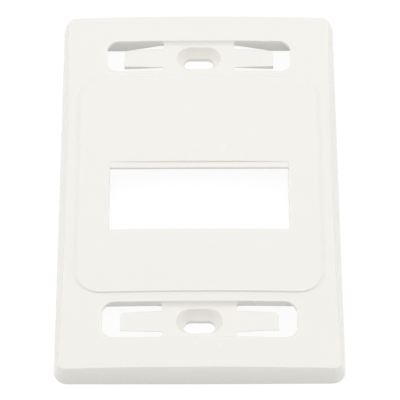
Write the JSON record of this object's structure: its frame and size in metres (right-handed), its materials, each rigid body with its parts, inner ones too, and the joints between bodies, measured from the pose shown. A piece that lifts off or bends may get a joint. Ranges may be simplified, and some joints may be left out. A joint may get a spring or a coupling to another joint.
{
  "type": "single-gang module faceplate",
  "caption": "Crowned single-gang wall faceplate with a wide snap-in module opening, and a screw window at each end holding a dished slot and spring fingers.",
  "frame": {"origin": "centre of the back rim's plane, which lies on the wall", "axes": "+Z out of the wall through the face, +Y along the plate towards its upper end, +X to the right seen from the front"},
  "size_m": [0.0698, 0.1142, 0.0063],
  "materials": {
    "moulded_plastic": "fine satin, off-white"
  },
  "bodies": {
    "root": {"faceplate": "moulded_plastic"}
  },
  "joints": []
}
